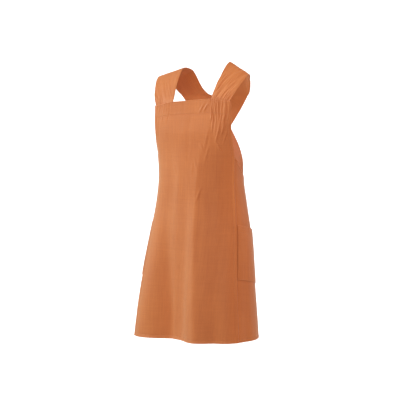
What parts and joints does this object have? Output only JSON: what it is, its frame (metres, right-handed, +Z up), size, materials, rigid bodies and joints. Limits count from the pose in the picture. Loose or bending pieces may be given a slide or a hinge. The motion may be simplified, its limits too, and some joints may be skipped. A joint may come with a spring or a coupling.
{
  "type": "cross back apron",
  "caption": "Linen work apron as worn: a square bib gathered onto wide straps that cross at the back, a flared skirt open behind, and a patch pocket at each side.",
  "frame": {"origin": "midway between the wearer's shoulders, level with where the straps turn over them", "axes": "+Z up, -Y towards the front of the wearer, +X towards the wearer's left"},
  "size_m": [0.4114, 0.2922, 0.8768],
  "materials": {
    "linen": "plain woven linen, terracotta orange, matt"
  },
  "bodies": {
    "root": {"front_panel": "linen", "bib_band": "linen", "back_panel_left": "linen", "back_panel_right": "linen", "pocket_left": "linen", "pocket_right": "linen", "strap_left": "linen", "strap_right": "linen"}
  },
  "joints": []
}
